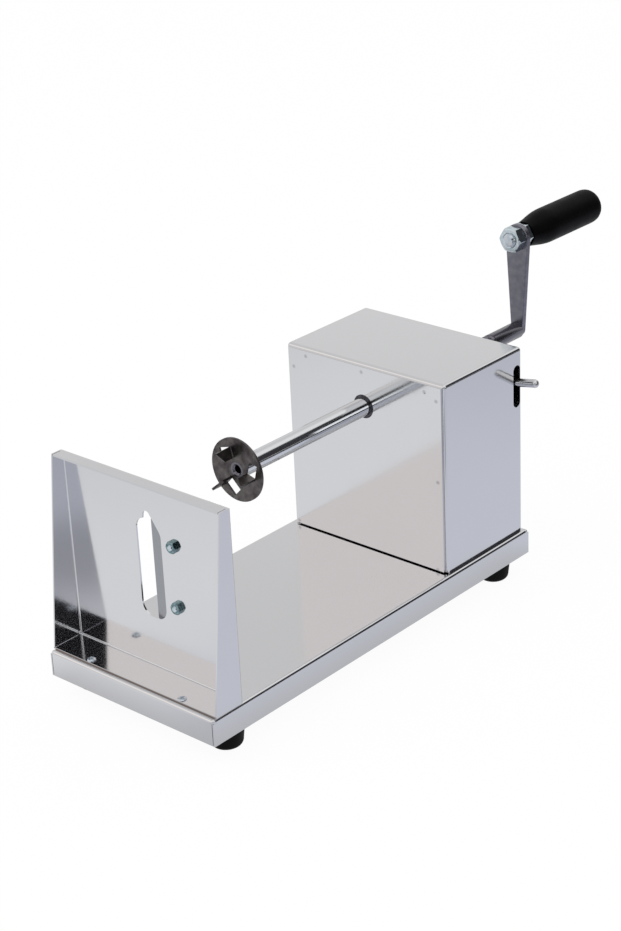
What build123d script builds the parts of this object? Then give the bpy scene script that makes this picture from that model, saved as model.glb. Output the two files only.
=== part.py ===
from build123d import *
import os
from math import cos, radians, sin, tan

# Hand cranked spiral potato cutter, in millimetres, +Z up, standing on z = 0.
# +X runs along the spindle from the blade to the crank, and the origin is under the
# middle of the machine. Lengths along the machine (x) are counted from the front edge
# of the base, sideways (y) from the spindle, and heights (z) from the deck of the base.

# ---------------------------------------------------------------- driving dimensions

# Polished stainless sheet
sheet = 1.2
bend = 2.2                      # outside radius of a fold
seam = 0.4                      # gap between two folded edges that meet at a corner
head_dome = 0.7                 # flat middle of a domed screw head, over its whole radius

# Base tray
base_length = 312.0
base_width = 140.0
skirt_depth = 17.5
corner_relief = 2.6

# Rubber feet on welded studs
foot_height = 13.5              # what shows below the skirt
foot_inset_x = 23.0
foot_inset_y = 13.0
foot_top_radius = 11.5
foot_base_radius = 10.0
foot_edge_round = 3.8
foot_recess_radius = 5.2
foot_recess_depth = 10.0
stud_radius = 2.5
foot_nut_flats = 8.0
foot_nut_height = 4.0
stud_past_nut = 1.4

# Blade stand, one folded sheet
stand_x = 25.5                  # front face of its panel
stand_side_step = 0.2           # the stand stands this far in from the base's sides
stand_rise = 24.7               # from the spindle axis up to the stand's top
lip_depth = 8.5
flange_depth = 22.5
wing_lift = 0.3                 # the wings end this far above the deck
slot_centre_y = -0.75
slot_width = 20.5
slot_bottom = 35.2
slot_top_drop = 2.3             # from the spindle axis down to the slot's upper edge
slot_round = 8.0
slot_slant_drop = 12.7          # from the axis down to where the slot's slanted corner begins
notch_radius = 3.0

# Blade and its bolts
blade_thickness = 1.0
blade_below_slot = 1.2
blade_past_axis = 2.5           # the blade's upper end, above the spindle axis
blade_skewer_gap = 0.4          # round the skewer's notch
blade_foot_width = 13.0
blade_foot_edge_y = -27.0
blade_standoff = 2.5            # from the panel to the cutting edge, one slice
blade_bolt_y = -21.2
lower_bolt_rise = 13.4          # from the slot's lower edge
upper_bolt_drop = 14.2          # from the spindle axis
blade_bolt_radius = 2.0
blade_bolt_head_radius = 4.0
blade_bolt_head_height = 2.4
blade_nut_flats = 7.0
blade_nut_height = 2.8
blade_bolt_past_nut = 0.7

# Screws that hold the stand's flange to the deck
stand_screw_inset = 3.2         # from the flange's front edge
stand_screw_y = 39.0
stand_screw_radius = 1.5
stand_screw_head_radius = 2.8
stand_screw_head_height = 1.3
stand_nut_flats = 5.5
stand_nut_height = 2.4
stand_screw_past_nut = 1.0

# Housing
housing_depth = 84.7            # over its two panels
housing_rear_step = 1.3         # from the base's rear edge to the rear panel
housing_side_step = 3.5         # from the base's sides to the housing's
housing_rise = 29.7             # from the spindle axis up to the housing's top
weld_flange = 12.0
panel_lift = 1.0                # dark gap between a panel and the deck
housing_screw_inset_front = 16.0
housing_screw_inset_rear = 42.0
housing_screw_radius = 2.0
housing_screw_head_radius = 3.6
housing_screw_head_height = 2.4
housing_nut_flats = 7.0
housing_nut_height = 3.2
housing_screw_past_nut = 1.2

# Spindle: a threaded rod with a smooth chromed tube over its front half
axis_height = 103.5
tube_radius = 6.25
rod_front_radius = 5.0
screw_radius = 6.0
screw_start_behind_panel = 3.0
skewer_hole_radius = 2.6
skewer_hole_depth = 120.0
skewer_hole_mouth = 3.7
running_clearance = 0.05
end_clearance = 0.15
screw_bush_clearance = 0.1

# Bushes
front_bush_radius = 8.2
front_bush_flange_radius = 11.5
front_bush_flange = 2.5
front_bush_sunk = 0.5           # its nose lies this far behind the panel's face
front_bush_length = 12.0
rear_bush_radius = 7.4
rear_bush_flange_radius = 9.0
rear_bush_flange = 1.6
rear_bush_proud = 5.3

# Holding disc with three windows and three prongs bent out of them
disc_x = 104.3                  # front face
disc_radius = 21.0
disc_thickness = 1.5
window_inner = 7.8
window_outer = 15.0
window_length = 10.5
window_count = 3
first_window_angle = 74.0
prong_length = 12.5
prong_shoulder = 7.5
prong_tip = 0.8
prong_bend = 0.8
prong_back_round = 1.4

# Crank
crank_behind_housing = 84.3     # to the front face of the arm, where the spindle ends
arm_length = 68.2
arm_top_radius = 9.35
arm_foot_radius = 4.9
arm_thickness = 4.0
arm_edge_round = 0.5

# Crank bolt, nuts and revolving grip
grip_bolt_radius = 5.0
grip_bolt_proud = 2.5
grip_nut_flats = 16.0
front_nut_height = 8.0
rear_nut_height = 4.5
grip_gap = 0.4
grip_length = 80.0
grip_neck_radius = 9.0
grip_radius = 12.5
grip_flare = 25.0
grip_end_round = 9.0
grip_end_lip = 0.4
grip_counterbore_radius = 8.4
grip_counterbore_depth = 8.0
bolt_head_radius = 8.0
bolt_head_height = 5.0

# Release lever, half nut and rod
lever_inset = 6.7               # from the housing's back to the middle of the lever
lever_thickness = 8.0
lever_bar_depth = 9.0
lever_seat_drop = 11.5          # from the spindle axis down to the half nut's seat
lever_hub_radius = 9.0
lever_boss_radius = 6.5
lever_end_y = 22.0
lever_panel_gap = 0.2
pivot_y = 45.0
pivot_radius = 3.0
pivot_head_flats = 10.0
pivot_head_height = 4.0
pivot_nut_flats = 10.0
pivot_nut_height = 5.0
pivot_past_nut = 1.5
half_nut_length = 10.0
half_nut_reach = 7.0            # in front of the lever's middle
half_nut_width = 18.0
half_nut_drop = 3.0             # from the spindle axis down to its upper face
half_nut_clearance = 0.08
half_nut_screw_y = 6.0
half_nut_screw_radius = 1.5
half_nut_screw_head_radius = 2.75
half_nut_screw_head_height = 2.0
half_nut_screw_grip = 4.0
rod_radius = 2.8
rod_tilt = 10.0
rod_exit_rise = 6.3             # where the rod leaves the housing, above the spindle axis
rod_reach = 83.5                # how far the rod's tip stands from the spindle
rod_socket = 9.0
rod_boss_length = 10.0
rod_boss_height = 12.0
rod_boss_web = 9.0
rod_nut_flats = 10.0
rod_nut_height = 4.0
rod_tip_round = 2.2
lever_slot_width = 7.4
lever_slot_below = 17.7         # from the rod down to the slot's end
lever_slot_above = 12.0

# Return spring between the rod and a post on the rear panel
spring_y = -30.0
spring_radius = 3.5
spring_wire = 0.8
spring_post_rise = 16.2         # above the rod's exit
spring_post_radius = 2.0
spring_post_length = 9.0
spring_loop_gap = 0.1

# ---------------------------------------------------------------- worked out places

housing_back_x = base_length - housing_rear_step
housing_x = housing_back_x - housing_depth      # front face of the front panel
housing_width = base_width - 2 * housing_side_step
housing_height = axis_height + housing_rise
crank_x = housing_back_x + crank_behind_housing
grip_back_x = crank_x + arm_thickness + rear_nut_height + grip_gap + grip_length
base_front_x = -grip_back_x / 2
axis_y = (rod_reach - base_width / 2) / 2
deck_z = foot_height + skirt_depth
stand_width = base_width - 2 * stand_side_step
stand_height = axis_height + stand_rise
slot_top = axis_height - slot_top_drop
slot_slant_height = axis_height - slot_slant_drop
slot_right = slot_centre_y - slot_width / 2
blade_bottom = slot_bottom - blade_below_slot
blade_top = axis_height + blade_past_axis
blade_bolt_heights = (slot_bottom + lower_bolt_rise, axis_height - upper_bolt_drop)
cover_front_x = housing_x + sheet
cover_back_x = housing_back_x - sheet
grip_axis_height = axis_height + arm_length
stand_back_x = stand_x + sheet
stand_front_x = stand_x - flange_depth
stand_screw_x = stand_front_x + stand_screw_inset
lever_seat = axis_height - lever_seat_drop
pivot_height = lever_seat - lever_bar_depth / 2
wall_y = housing_width / 2
lever_x = housing_back_x - lever_inset
half_nut_front = lever_x - half_nut_reach
rod_exit_height = axis_height + rod_exit_rise
lever_slot_bottom = rod_exit_height - lever_slot_below
lever_slot_top = rod_exit_height + lever_slot_above
spring_post_height = rod_exit_height + spring_post_rise


def at(x, y, z):
    """A point given from the base's front edge, the spindle and the deck."""
    return (base_front_x + x, axis_y + y, deck_z + z)


def deck(z=0.0):
    """A level plane z above the deck."""
    return Plane(at(0, 0, z))


def across(x, y=0.0, z=0.0):
    """An upright plane square to the spindle; its own x is the machine's +Y."""
    return Plane(origin=at(x, y, z), x_dir=(0, 1, 0), z_dir=(1, 0, 0))


def along(z=0.0):
    """The upright plane through the spindle; its own x is the machine's +X."""
    return Plane(origin=at(0, 0, z), x_dir=(1, 0, 0), z_dir=(0, -1, 0))


def turn(outline, height, y=0.0):
    """Revolve (x, radius) points about a line along the machine at this height."""
    plane = Plane(origin=at(0, y, height), x_dir=(1, 0, 0), z_dir=(0, -1, 0))
    with BuildSketch(plane) as profile:
        with BuildLine():
            Polyline(*outline, close=True)
        make_face()
    revolve(profile.sketch, axis=Axis(at(0, y, height), (1, 0, 0)))


def upright_turn(outline, x, y):
    """Revolve (radius, z) points about an upright line at x, y."""
    plane = Plane(origin=at(x, y, 0), x_dir=(1, 0, 0), z_dir=(0, -1, 0))
    with BuildSketch(plane) as profile:
        with BuildLine():
            Polyline(*outline, close=True)
        make_face()
    revolve(profile.sketch, axis=Axis(at(x, y, 0), (0, 0, 1)))


def hex_nut(plane, flats, height, bore, rotation=0):
    """A hexagon nut standing on the plane, turned by rotation degrees."""
    with BuildSketch(plane) as profile:
        RegularPolygon(radius=flats / 2, side_count=6, major_radius=False, rotation=rotation)
        Circle(bore, mode=Mode.SUBTRACT)
    extrude(profile.sketch, amount=height)


def save(part, name):
    part.label = name
    export_step(part, f"parts/{name}.step")


os.makedirs("parts", exist_ok=True)

# ---------------------------------------------------------------- base tray and feet

foot_places = {
    "front_left": (foot_inset_x, base_width / 2 - foot_inset_y),
    "front_right": (foot_inset_x, foot_inset_y - base_width / 2),
    "rear_left": (base_length - foot_inset_x, base_width / 2 - foot_inset_y),
    "rear_right": (base_length - foot_inset_x, foot_inset_y - base_width / 2),
}
stand_screw_places = [(stand_screw_x, stand_screw_y), (stand_screw_x, -stand_screw_y)]
housing_screw_places = [
    (x, side * (wall_y - weld_flange / 2 - sheet / 2))
    for x in (cover_front_x + housing_screw_inset_front, cover_back_x - housing_screw_inset_rear)
    for side in (-1, 1)
]
base_corners = [(x, side * base_width / 2) for x in (0, base_length) for side in (-1, 1)]

with BuildPart() as base_tray:
    with BuildSketch(deck(-skirt_depth)):
        with Locations((base_length / 2, 0)):
            Rectangle(base_length, base_width)
    extrude(amount=skirt_depth)
    top = base_tray.faces().sort_by(Axis.Z)[-1]
    fillet(top.edges(), bend)
    offset(amount=-sheet, openings=base_tray.faces().sort_by(Axis.Z)[0])
    # each folded corner is notched out, and its two skirts meet in an open seam
    with BuildSketch(deck()):
        with Locations(*base_corners):
            Rectangle(2 * corner_relief, 2 * corner_relief)
    extrude(amount=-bend, mode=Mode.SUBTRACT)
    for x, y in base_corners:
        with BuildSketch(deck(-skirt_depth)):
            with Locations((x, y - sheet * (1 if y > 0 else -1))):
                Rectangle(4 * sheet, seam)
        extrude(amount=skirt_depth, mode=Mode.SUBTRACT)
    with BuildSketch(deck()):
        with Locations(*stand_screw_places):
            Circle(stand_screw_radius)
        with Locations(*housing_screw_places):
            Circle(housing_screw_radius)
    extrude(amount=-sheet, mode=Mode.SUBTRACT)
save(base_tray.part, "base_tray")

floor_drop = skirt_depth + foot_height
foot_seat = floor_drop - foot_recess_depth

for place, (x, y) in foot_places.items():
    with BuildPart() as foot:
        upright_turn([
            (stud_radius, -sheet), (foot_top_radius - bend, -sheet),
            (foot_top_radius, -sheet - bend), (foot_top_radius, -skirt_depth), (foot_base_radius, -floor_drop),
            (foot_recess_radius, -floor_drop), (foot_recess_radius, -foot_seat),
            (stud_radius, -foot_seat),
        ], x, y)
        lowest = foot.edges().filter_by(GeomType.CIRCLE).group_by(Axis.Z)[0]
        rim = lowest.sort_by(SortBy.RADIUS)[-1]
        fillet(rim, foot_edge_round)
    save(foot.part, f"foot_{place}")

with BuildPart() as foot_studs:
    with BuildSketch(deck(-sheet)):
        with Locations(*foot_places.values()):
            Circle(stud_radius)
    extrude(amount=-(foot_seat - sheet + foot_nut_height + stud_past_nut))
save(foot_studs.part, "foot_studs")

with BuildPart() as foot_nuts:
    for x, y in foot_places.values():
        hex_nut(Plane(at(x, y, -foot_seat - foot_nut_height)),
                foot_nut_flats, foot_nut_height, stud_radius)
save(foot_nuts.part, "foot_nuts")

# ---------------------------------------------------------------- blade stand and blade

with BuildPart() as blade_stand:
    with BuildSketch(along()):
        with BuildLine():
            Polyline(
                (stand_front_x, 0), (stand_back_x, 0),
                (stand_back_x, stand_height), (stand_x - lip_depth, stand_height),
                close=True,
            )
        make_face()
    extrude(amount=stand_width / 2, both=True)
    back = blade_stand.faces().sort_by(Axis.X)[-1]
    fillet(back.edges(), bend)
    # the sheet stays as panel, lip, flange and two wings; the sloping front is open
    sloping = blade_stand.faces().filter_by(GeomType.PLANE).sort_by(Axis.X)[0]
    offset(amount=-sheet, openings=sloping)
    # the wings are joined to the panel only, so lip and flange end in open seams
    for side in (-1, 1):
        with BuildSketch(deck(-seam)):
            with Locations((stand_x - bend - flange_depth / 2, side * (stand_width / 2 - sheet))):
                Rectangle(flange_depth, seam)
        extrude(amount=stand_height + 2 * seam, mode=Mode.SUBTRACT)
        with BuildSketch(deck()):
            with Locations((stand_x - bend - flange_depth / 2, side * stand_width / 2)):
                Rectangle(flange_depth, 2 * sheet)
        extrude(amount=wing_lift, mode=Mode.SUBTRACT)
    # slot that lets the slice through; its upper right corner is left for the slanted cut
    with BuildSketch(across(stand_x - sheet)) as slot:
        with Locations((slot_centre_y, (slot_bottom + slot_top) / 2)):
            Rectangle(slot_width, slot_top - slot_bottom)
        lower, upper = slot.vertices().group_by(Axis.Y)
        fillet(lower + upper.sort_by(Axis.X)[-1:], slot_round)
        with Locations((slot_right + slot_round / 2, (slot_slant_height + slot_top) / 2)):
            Rectangle(slot_round, slot_top - slot_slant_height, mode=Mode.SUBTRACT)
    extrude(amount=3 * sheet, mode=Mode.SUBTRACT)
    # there the edge slants up into the notch that the skewer comes out of
    with BuildSketch(across(stand_x - sheet)):
        with Locations((slot_right + slot_round, slot_slant_height)):
            Circle(slot_round)
        with Locations((0, axis_height)):
            Circle(notch_radius)
        make_hull()
    extrude(amount=3 * sheet, mode=Mode.SUBTRACT)
    with BuildSketch(across(stand_x - sheet)):
        with Locations(*[(blade_bolt_y, z) for z in blade_bolt_heights]):
            Circle(blade_bolt_radius)
    extrude(amount=3 * sheet, mode=Mode.SUBTRACT)
    with BuildSketch(deck()):
        with Locations(*stand_screw_places):
            Circle(stand_screw_radius)
    extrude(amount=sheet, mode=Mode.SUBTRACT)
save(blade_stand.part, "blade_stand")

blade_knee_y = blade_foot_edge_y + blade_foot_width
blade_slope = (blade_standoff - blade_thickness) / -blade_knee_y

with BuildPart() as blade:
    with BuildSketch(Plane(at(0, 0, blade_bottom))):
        with BuildLine():
            Polyline(
                (stand_back_x, blade_foot_edge_y),
                (stand_back_x, blade_knee_y),
                (stand_back_x + blade_standoff - blade_thickness, -blade_thickness),
                (stand_back_x + blade_standoff, 0),
                (stand_back_x + blade_thickness, blade_knee_y - blade_slope * blade_thickness),
                (stand_back_x + blade_thickness, blade_foot_edge_y),
                close=True,
            )
        make_face()
    extrude(amount=blade_top - blade_bottom)
    with BuildSketch(across(stand_back_x)):
        with Locations(*[(blade_bolt_y, z) for z in blade_bolt_heights]):
            Circle(blade_bolt_radius)
    extrude(amount=blade_thickness, mode=Mode.SUBTRACT)
    # the cutting edge is cut back round the skewer
    with BuildSketch(across(stand_back_x, 0, axis_height)):
        Circle(notch_radius + blade_skewer_gap)
    extrude(amount=blade_standoff, mode=Mode.SUBTRACT)
save(blade.part, "blade")

blade_head_x = stand_back_x + blade_thickness

with BuildPart() as blade_bolts:
    for z in blade_bolt_heights:
        turn([
            (stand_x - blade_nut_height - blade_bolt_past_nut, 0),
            (stand_x - blade_nut_height - blade_bolt_past_nut, blade_bolt_radius),
            (blade_head_x, blade_bolt_radius), (blade_head_x, blade_bolt_head_radius),
            (blade_head_x + blade_bolt_head_height / 2, blade_bolt_head_radius),
            (blade_head_x + blade_bolt_head_height, blade_bolt_head_radius * head_dome),
            (blade_head_x + blade_bolt_head_height, 0),
        ], z, blade_bolt_y)
save(blade_bolts.part, "blade_bolts")

with BuildPart() as blade_nuts:
    for z in blade_bolt_heights:
        hex_nut(across(stand_x - blade_nut_height, blade_bolt_y, z),
                blade_nut_flats, blade_nut_height, blade_bolt_radius)
save(blade_nuts.part, "blade_nuts")

stand_screw_length = 2 * sheet + stand_nut_height + stand_screw_past_nut

with BuildPart() as stand_screws:
    for x, y in stand_screw_places:
        upright_turn([
            (0, sheet - stand_screw_length), (stand_screw_radius, sheet - stand_screw_length),
            (stand_screw_radius, sheet), (stand_screw_head_radius, sheet),
            (stand_screw_head_radius, sheet + stand_screw_head_height / 2),
            (stand_screw_head_radius * head_dome, sheet + stand_screw_head_height),
            (0, sheet + stand_screw_head_height),
        ], x, y)
save(stand_screws.part, "stand_screws")

with BuildPart() as stand_nuts:
    for x, y in stand_screw_places:
        hex_nut(Plane(at(x, y, -sheet - stand_nut_height)),
                stand_nut_flats, stand_nut_height, stand_screw_radius)
save(stand_nuts.part, "stand_nuts")

# ---------------------------------------------------------------- housing

cover_depth = cover_back_x - cover_front_x
panel_width = housing_width - 2 * bend
panel_top = housing_height - bend

with BuildPart() as housing_cover:
    with BuildSketch(deck()):
        with Locations((cover_front_x + cover_depth / 2, 0)):
            Rectangle(cover_depth, housing_width)
    extrude(amount=housing_height)
    upright = housing_cover.edges().filter_by(Axis.Z)
    upper = housing_cover.faces().sort_by(Axis.Z)[-1].edges()
    fillet(upright + upper, bend)
    offset(amount=-sheet, openings=housing_cover.faces().sort_by(Axis.Z)[0])
    # front and rear are open but for the welding flanges that the panels lie on
    with BuildSketch(across(cover_front_x)):
        with Locations((0, (housing_height - weld_flange) / 2)):
            Rectangle(housing_width - 2 * weld_flange, housing_height - weld_flange)
    extrude(amount=cover_depth, mode=Mode.SUBTRACT)
    with BuildSketch(across(cover_back_x)):
        with Locations((spring_y, spring_post_height)):
            Circle(spring_post_radius)
    extrude(amount=-sheet, mode=Mode.SUBTRACT)
    # feet folded inward along the two sides, where the screws come up
    with BuildSketch(deck()):
        with Locations(*[
            (cover_front_x + cover_depth / 2, side * (wall_y - weld_flange / 2))
            for side in (-1, 1)
        ]):
            Rectangle(cover_depth - 2 * bend, weld_flange)
        with Locations(*housing_screw_places):
            Circle(housing_screw_radius, mode=Mode.SUBTRACT)
    extrude(amount=sheet)
    # like the panels on them, the ends stop short of the deck
    with BuildSketch(deck()):
        with Locations((cover_front_x + bend / 2, 0), (cover_back_x - bend / 2, 0)):
            Rectangle(bend, housing_width)
    extrude(amount=panel_lift, mode=Mode.SUBTRACT)
    # upright slot for the release rod
    with BuildSketch(Plane(origin=at(lever_x, -wall_y, (lever_slot_bottom + lever_slot_top) / 2),
                           x_dir=(0, 0, 1), z_dir=(0, 1, 0))):
        SlotOverall(lever_slot_top - lever_slot_bottom, lever_slot_width)
    extrude(amount=2 * sheet, mode=Mode.SUBTRACT)
save(housing_cover.part, "housing_cover")

with BuildPart() as housing_front_panel:
    with BuildSketch(across(housing_x)):
        with Locations((0, (panel_lift + panel_top) / 2)):
            Rectangle(panel_width, panel_top - panel_lift)
        with Locations((0, axis_height)):
            Circle(front_bush_radius, mode=Mode.SUBTRACT)
    extrude(amount=sheet)
save(housing_front_panel.part, "housing_front_panel")

with BuildPart() as housing_rear_panel:
    with BuildSketch(across(cover_back_x)):
        with Locations((0, (panel_lift + panel_top) / 2)):
            Rectangle(panel_width, panel_top - panel_lift)
        with Locations((0, axis_height)):
            Circle(rear_bush_radius, mode=Mode.SUBTRACT)
        with Locations((pivot_y, pivot_height)):
            Circle(pivot_radius, mode=Mode.SUBTRACT)
        with Locations((spring_y, spring_post_height)):
            Circle(spring_post_radius, mode=Mode.SUBTRACT)
    extrude(amount=sheet)
save(housing_rear_panel.part, "housing_rear_panel")

with BuildPart() as housing_screws:
    for x, y in housing_screw_places:
        upright_turn([
            (0, -sheet - housing_screw_head_height),
            (housing_screw_head_radius * head_dome, -sheet - housing_screw_head_height),
            (housing_screw_head_radius, -sheet - housing_screw_head_height / 2),
            (housing_screw_head_radius, -sheet), (housing_screw_radius, -sheet),
            (housing_screw_radius, sheet + housing_nut_height + housing_screw_past_nut),
            (0, sheet + housing_nut_height + housing_screw_past_nut),
        ], x, y)
save(housing_screws.part, "housing_screws")

with BuildPart() as housing_nuts:
    for x, y in housing_screw_places:
        hex_nut(Plane(at(x, y, sheet)), housing_nut_flats, housing_nut_height, housing_screw_radius)
save(housing_nuts.part, "housing_nuts")

front_bush_bore = tube_radius + running_clearance

with BuildPart() as front_bush:
    # a nose in the panel's hole, and a flange against the panel's back
    turn([
        (housing_x + front_bush_sunk, front_bush_bore),
        (housing_x + front_bush_sunk, front_bush_radius),
        (cover_front_x, front_bush_radius), (cover_front_x, front_bush_flange_radius),
        (cover_front_x + front_bush_flange, front_bush_flange_radius),
        (cover_front_x + front_bush_flange, front_bush_radius),
        (housing_x + front_bush_length, front_bush_radius),
        (housing_x + front_bush_length, front_bush_bore),
    ], axis_height)
save(front_bush.part, "front_bush")

rear_bush_bore = screw_radius + screw_bush_clearance

with BuildPart() as rear_bush:
    turn([
        (cover_back_x - rear_bush_flange, rear_bush_bore),
        (cover_back_x - rear_bush_flange, rear_bush_flange_radius),
        (cover_back_x, rear_bush_flange_radius), (cover_back_x, rear_bush_radius),
        (housing_back_x + rear_bush_proud, rear_bush_radius),
        (housing_back_x + rear_bush_proud, rear_bush_bore),
    ], axis_height)
save(rear_bush.part, "rear_bush")

# ---------------------------------------------------------------- spindle and disc

screw_start_x = cover_front_x + screw_start_behind_panel
disc_back_x = disc_x + disc_thickness

with BuildPart() as spindle_tube:
    turn([
        (disc_back_x + end_clearance, rod_front_radius + running_clearance),
        (disc_back_x + end_clearance, tube_radius),
        (screw_start_x - end_clearance, tube_radius),
        (screw_start_x - end_clearance, rod_front_radius + running_clearance),
    ], axis_height)
save(spindle_tube.part, "spindle_tube")

mouth_depth = skewer_hole_mouth - skewer_hole_radius

with BuildPart() as feed_screw:
    turn([
        (disc_x, skewer_hole_mouth), (disc_x, rod_front_radius),
        (screw_start_x, rod_front_radius), (screw_start_x, screw_radius),
        (crank_x, screw_radius), (crank_x, 0),
        (disc_x + mouth_depth + skewer_hole_depth, 0),
        (disc_x + mouth_depth + skewer_hole_depth, skewer_hole_radius),
        (disc_x + mouth_depth, skewer_hole_radius),
    ], axis_height)
save(feed_screw.part, "feed_screw")

with BuildPart() as holding_disc:
    with BuildSketch(across(disc_x, 0, axis_height)):
        Circle(disc_radius)
        Circle(rod_front_radius, mode=Mode.SUBTRACT)
        with PolarLocations(0, window_count, start_angle=first_window_angle):
            with Locations(((window_inner + window_outer) / 2, -window_length / 2)):
                Rectangle(window_outer - window_inner, window_length, mode=Mode.SUBTRACT)
    extrude(amount=disc_thickness)
    # each window's tongue stands forward from one of its edges, as a slanted prong
    for index in range(window_count):
        angle = radians(first_window_angle + 360 / window_count * index)
        outward = Vector(0, cos(angle), sin(angle))
        round_about = Vector(0, -sin(angle), cos(angle))
        with BuildSketch(Plane(origin=at(disc_back_x, 0, axis_height), x_dir=outward, z_dir=round_about)):
            with BuildLine():
                Polyline(
                    (window_inner, 0), (window_outer, 0),
                    (window_outer, disc_thickness + prong_length),
                    (window_outer - prong_tip, disc_thickness + prong_length),
                    (window_inner, disc_thickness + prong_shoulder),
                    close=True,
                )
            make_face()
        extrude(amount=-disc_thickness)
        root = Vector(*at(disc_back_x, 0, axis_height)) + outward * (window_inner + window_outer) / 2
        inside_fold = root - Vector(disc_thickness, 0, 0)
        outside_fold = root - round_about * disc_thickness
        fillet(holding_disc.edges().sort_by_distance(inside_fold)[0], prong_bend)
        fillet(holding_disc.edges().sort_by_distance(outside_fold)[0], prong_back_round)
save(holding_disc.part, "holding_disc")

# ---------------------------------------------------------------- crank

with BuildPart() as crank_arm:
    with BuildSketch(across(crank_x)):
        with Locations((0, axis_height)):
            Circle(arm_foot_radius)
        with Locations((0, grip_axis_height)):
            Circle(arm_top_radius)
        make_hull()
    extrude(amount=arm_thickness)
    fillet(crank_arm.faces().filter_by(Axis.X).edges(), arm_edge_round)
    with BuildSketch(across(crank_x)):
        with Locations((0, grip_axis_height)):
            Circle(grip_bolt_radius)
    extrude(amount=arm_thickness, mode=Mode.SUBTRACT)
save(crank_arm.part, "crank_arm")

front_nut_x = crank_x - front_nut_height
rear_nut_x = crank_x + arm_thickness
grip_front_x = rear_nut_x + rear_nut_height + grip_gap
bolt_seat_x = grip_back_x - grip_counterbore_depth
bolt_head_x = bolt_seat_x + grip_gap

with BuildPart() as grip_bolt:
    turn([
        (front_nut_x - grip_bolt_proud, 0), (front_nut_x - grip_bolt_proud, grip_bolt_radius),
        (bolt_head_x, grip_bolt_radius), (bolt_head_x, bolt_head_radius),
        (bolt_head_x + bolt_head_height, bolt_head_radius), (bolt_head_x + bolt_head_height, 0),
    ], grip_axis_height)
save(grip_bolt.part, "grip_bolt")

with BuildPart() as grip_nut_front:
    hex_nut(across(front_nut_x, 0, grip_axis_height), grip_nut_flats, front_nut_height, grip_bolt_radius)
save(grip_nut_front.part, "grip_nut_front")

with BuildPart() as grip_nut_rear:
    hex_nut(across(rear_nut_x, 0, grip_axis_height), grip_nut_flats, rear_nut_height, grip_bolt_radius)
save(grip_nut_rear.part, "grip_nut_rear")

grip_bore = grip_bolt_radius + running_clearance

with BuildPart() as grip:
    with BuildSketch(along(grip_axis_height)):
        with BuildLine():
            Line((grip_front_x, grip_bore), (grip_front_x, grip_neck_radius))
            Spline(
                (grip_front_x, grip_neck_radius),
                (grip_front_x + grip_flare, grip_radius),
                tangents=[(1, 0.1), (1, 0)],
            )
            Line((grip_front_x + grip_flare, grip_radius), (grip_back_x - grip_end_round, grip_radius))
            Spline(
                (grip_back_x - grip_end_round, grip_radius),
                (grip_back_x, grip_counterbore_radius + grip_end_lip),
                tangents=[(1, 0), (0.1, -1)],
            )
            Polyline(
                (grip_back_x, grip_counterbore_radius + grip_end_lip),
                (grip_back_x, grip_counterbore_radius), (bolt_seat_x, grip_counterbore_radius),
                (bolt_seat_x, grip_bore), (grip_front_x, grip_bore),
            )
        make_face()
    revolve(axis=Axis(at(0, 0, grip_axis_height), (1, 0, 0)))
save(grip.part, "grip")

# ---------------------------------------------------------------- release lever

lever_front_x = lever_x - lever_thickness / 2
lever_back_x = lever_x + lever_thickness / 2
tilt = radians(rod_tilt)


def rod_plane(y):
    """A plane square to the release rod, on the rod's line at this y, facing outward."""
    height = rod_exit_height - (wall_y + y) * tan(tilt)
    return Plane(origin=at(lever_x, y, height), x_dir=(1, 0, 0), z_dir=(0, -cos(tilt), sin(tilt)))


rod_face_y = -lever_end_y
rod_face_height = rod_exit_height - (wall_y + rod_face_y) * tan(tilt)
boss_y = rod_face_y + rod_boss_length / 2 * cos(tilt)
boss_height = rod_face_height - rod_boss_length / 2 * sin(tilt)

with BuildPart() as release_lever:
    with BuildSketch(across(lever_front_x)):
        with Locations((pivot_y, pivot_height)):
            Circle(lever_hub_radius)
        with Locations(((pivot_y - lever_end_y) / 2, pivot_height)):
            Rectangle(pivot_y + lever_end_y, lever_bar_depth)
        with Locations((boss_y, boss_height)):
            Rectangle(rod_boss_length, rod_boss_height, rotation=-rod_tilt)
        with Locations((boss_y, (boss_height + pivot_height) / 2)):
            Rectangle(rod_boss_web, boss_height - pivot_height)
        with Locations((pivot_y, pivot_height)):
            Circle(pivot_radius + running_clearance, mode=Mode.SUBTRACT)
    extrude(amount=lever_thickness)
    with BuildSketch(across(lever_back_x, pivot_y, pivot_height)):
        Circle(lever_boss_radius)
        Circle(pivot_radius + running_clearance, mode=Mode.SUBTRACT)
    extrude(amount=cover_back_x - lever_panel_gap - lever_back_x)
    with BuildSketch(rod_plane(rod_face_y)):
        Circle(rod_radius)
    extrude(amount=-rod_socket, mode=Mode.SUBTRACT)
    with BuildSketch(deck(lever_seat)):
        with Locations((lever_x, -half_nut_screw_y), (lever_x, half_nut_screw_y)):
            Circle(half_nut_screw_radius)
    extrude(amount=-lever_bar_depth, mode=Mode.SUBTRACT)
save(release_lever.part, "release_lever")

half_nut_height = lever_seat_drop - half_nut_drop

with BuildPart() as half_nut:
    with BuildSketch(across(half_nut_front)):
        with Locations((0, lever_seat + half_nut_height / 2)):
            Rectangle(half_nut_width, half_nut_height)
        with Locations((0, axis_height)):
            Circle(screw_radius + half_nut_clearance, mode=Mode.SUBTRACT)
    extrude(amount=half_nut_length)
    with BuildSketch(deck(lever_seat)):
        with Locations((lever_x, -half_nut_screw_y), (lever_x, half_nut_screw_y)):
            Circle(half_nut_screw_radius)
    extrude(amount=half_nut_screw_grip, mode=Mode.SUBTRACT)
save(half_nut.part, "half_nut")

lever_underside = lever_seat - lever_bar_depth

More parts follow.
